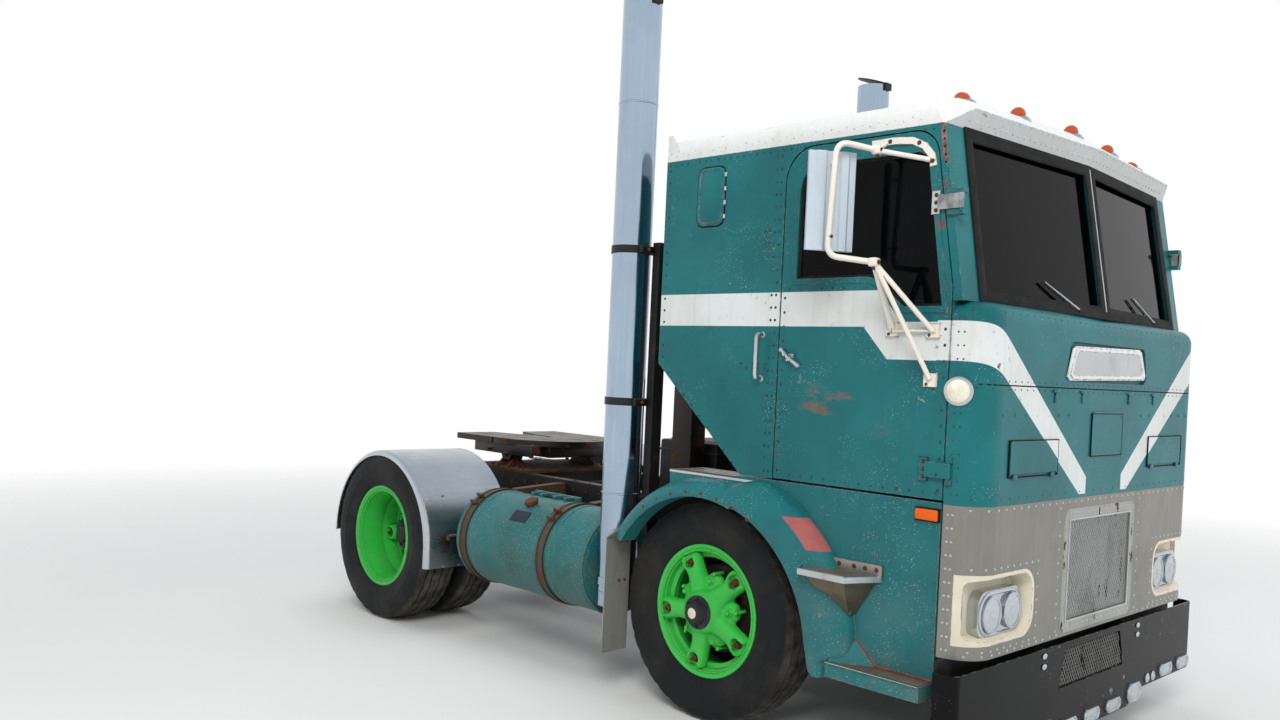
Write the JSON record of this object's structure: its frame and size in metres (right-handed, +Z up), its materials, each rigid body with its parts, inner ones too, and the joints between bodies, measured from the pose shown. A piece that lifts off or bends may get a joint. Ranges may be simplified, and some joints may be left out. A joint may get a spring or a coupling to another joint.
{
  "type": "two-axle cab-over semi truck tractor",
  "caption": "Cab-over semi truck tractor with a short sleeper, twin stacks, side tanks, half-round rear fenders and a fifth wheel; it rolls, steers, tilts its cab and opens its doors",
  "frame": {"origin": "on the ground, at the middle of the footprint", "axes": "+X to the truck's left, +Y to its rear, +Z up; it faces -Y"},
  "size_m": [2.88, 4.66, 3.664],
  "materials": {
    "frame_black": "matt, dusty",
    "bumper_black": "gloss",
    "lamp_chrome": "polished",
    "radiator_black": "matt",
    "engine_paint": "matt, oily",
    "axle_black": "matt, dusty",
    "cab_paint": "worn gloss with chips",
    "stack_chrome": "polished, dull toward the foot",
    "stainless": "vertical grain",
    "aluminium": "satin",
    "rusty_steel": "rusty, greased",
    "window_glass": "dark tint",
    "pocket_cream": "satin",
    "roof_white": "worn satin with rusty chips",
    "amber_lens": "clear gloss",
    "trim_grey": "grained",
    "seat_cloth": "worn cloth",
    "black_plastic": "satin",
    "wheel_green": "gloss",
    "tyre_black": "dusty"
  },
  "bodies": {
    "chassis": {"frame_rails": "frame_black", "cross_members": "frame_black", "front_brackets": "frame_black", "front_bumper": "bumper_black", "bumper_mesh": "bumper_black", "bumper_lamps": "lamp_chrome", "radiator": "radiator_black", "engine_block": "engine_paint", "front_axle": "axle_black", "rear_axle": "axle_black", "driveshaft": "engine_paint", "leaf_springs": "axle_black", "fuel_tanks": "cab_paint", "tank_straps": "frame_black", "exhaust_stacks": "stack_chrome", "rain_caps": "stack_chrome", "stack_posts": "frame_black", "front_fenders": "cab_paint", "splash_plates": "stainless", "side_panels": "cab_paint", "cast_steps": "aluminium", "rear_fenders": "aluminium", "fender_brackets": "frame_black", "fifth_wheel_base": "rusty_steel"},
    "cab": {"cab_shell": "cab_paint", "windshield_glass": "window_glass", "rear_glass": "window_glass", "nose_panel": "cab_paint", "skirt_panel": "stainless", "lamp_pockets": "pocket_cream", "headlamps": "lamp_chrome", "grille": "aluminium", "tilt_arms": "frame_black", "roof_cap": "roof_white", "marker_lamps": "amber_lens", "engine_cover": "trim_grey", "seats": "seat_cloth", "bunk": "seat_cloth", "dash": "trim_grey", "steering_wheel": "black_plastic", "wipers": "black_plastic"},
    "door_left": {"door_left": "cab_paint", "door_glass_left": "window_glass", "mirror_left": "roof_white"},
    "door_right": {"door_right": "cab_paint", "door_glass_right": "window_glass", "mirror_right": "roof_white"},
    "knuckle_left": {"knuckle_left": "axle_black"},
    "knuckle_right": {"knuckle_right": "axle_black"},
    "front_wheel_left": {"front_wheel_left": "wheel_green", "front_tyre_left": "tyre_black"},
    "front_wheel_right": {"front_wheel_right": "wheel_green", "front_tyre_right": "tyre_black"},
    "rear_wheels_left": {"rear_wheel_left": "wheel_green", "rear_tyres_left": "tyre_black"},
    "rear_wheels_right": {"rear_wheel_right": "wheel_green", "rear_tyres_right": "tyre_black"},
    "fifth_wheel_plate": {"fifth_wheel_plate": "rusty_steel"}
  },
  "joints": [
    {"name": "steer_left", "type": "hinge", "parent": "chassis", "child": "knuckle_left", "pos_m": [0.86, -0.905, 0.525], "axis": [0, 0, 1], "range_deg": [-30, 30]},
    {"name": "steer_right", "type": "hinge", "parent": "chassis", "child": "knuckle_right", "pos_m": [-0.86, -0.905, 0.525], "axis": [0, 0, 1], "range_deg": [-30, 30]},
    {"name": "front_roll_left", "type": "hinge", "parent": "knuckle_left", "child": "front_wheel_left", "pos_m": [0.985, -0.905, 0.525], "axis": [1, 0, 0], "continuous": true},
    {"name": "front_roll_right", "type": "hinge", "parent": "knuckle_right", "child": "front_wheel_right", "pos_m": [-0.985, -0.905, 0.525], "axis": [1, 0, 0], "continuous": true},
    {"name": "rear_roll_left", "type": "hinge", "parent": "chassis", "child": "rear_wheels_left", "pos_m": [1.02, 1.725, 0.525], "axis": [1, 0, 0], "continuous": true},
    {"name": "rear_roll_right", "type": "hinge", "parent": "chassis", "child": "rear_wheels_right", "pos_m": [-1.02, 1.725, 0.525], "axis": [1, 0, 0], "continuous": true},
    {"name": "cab_tilt", "type": "hinge", "parent": "chassis", "child": "cab", "pos_m": [0, -2.28, 0.615], "axis": [1, 0, 0], "range_deg": [0, 50]},
    {"name": "door_swing_left", "type": "hinge", "parent": "cab", "child": "door_left", "pos_m": [1.15, -2.19, 1.9], "axis": [0, 0, -1], "range_deg": [0, 70]},
    {"name": "door_swing_right", "type": "hinge", "parent": "cab", "child": "door_right", "pos_m": [-1.15, -2.19, 1.9], "axis": [0, 0, 1], "range_deg": [0, 70]},
    {"name": "plate_rock", "type": "hinge", "parent": "chassis", "child": "fifth_wheel_plate", "pos_m": [0, 1.655, 1.04], "axis": [1, 0, 0], "range_deg": [-10, 10]}
  ],
  "couplings": [
    {"joint": "steer_right", "follows": "steer_left", "ratio": 1}
  ]
}
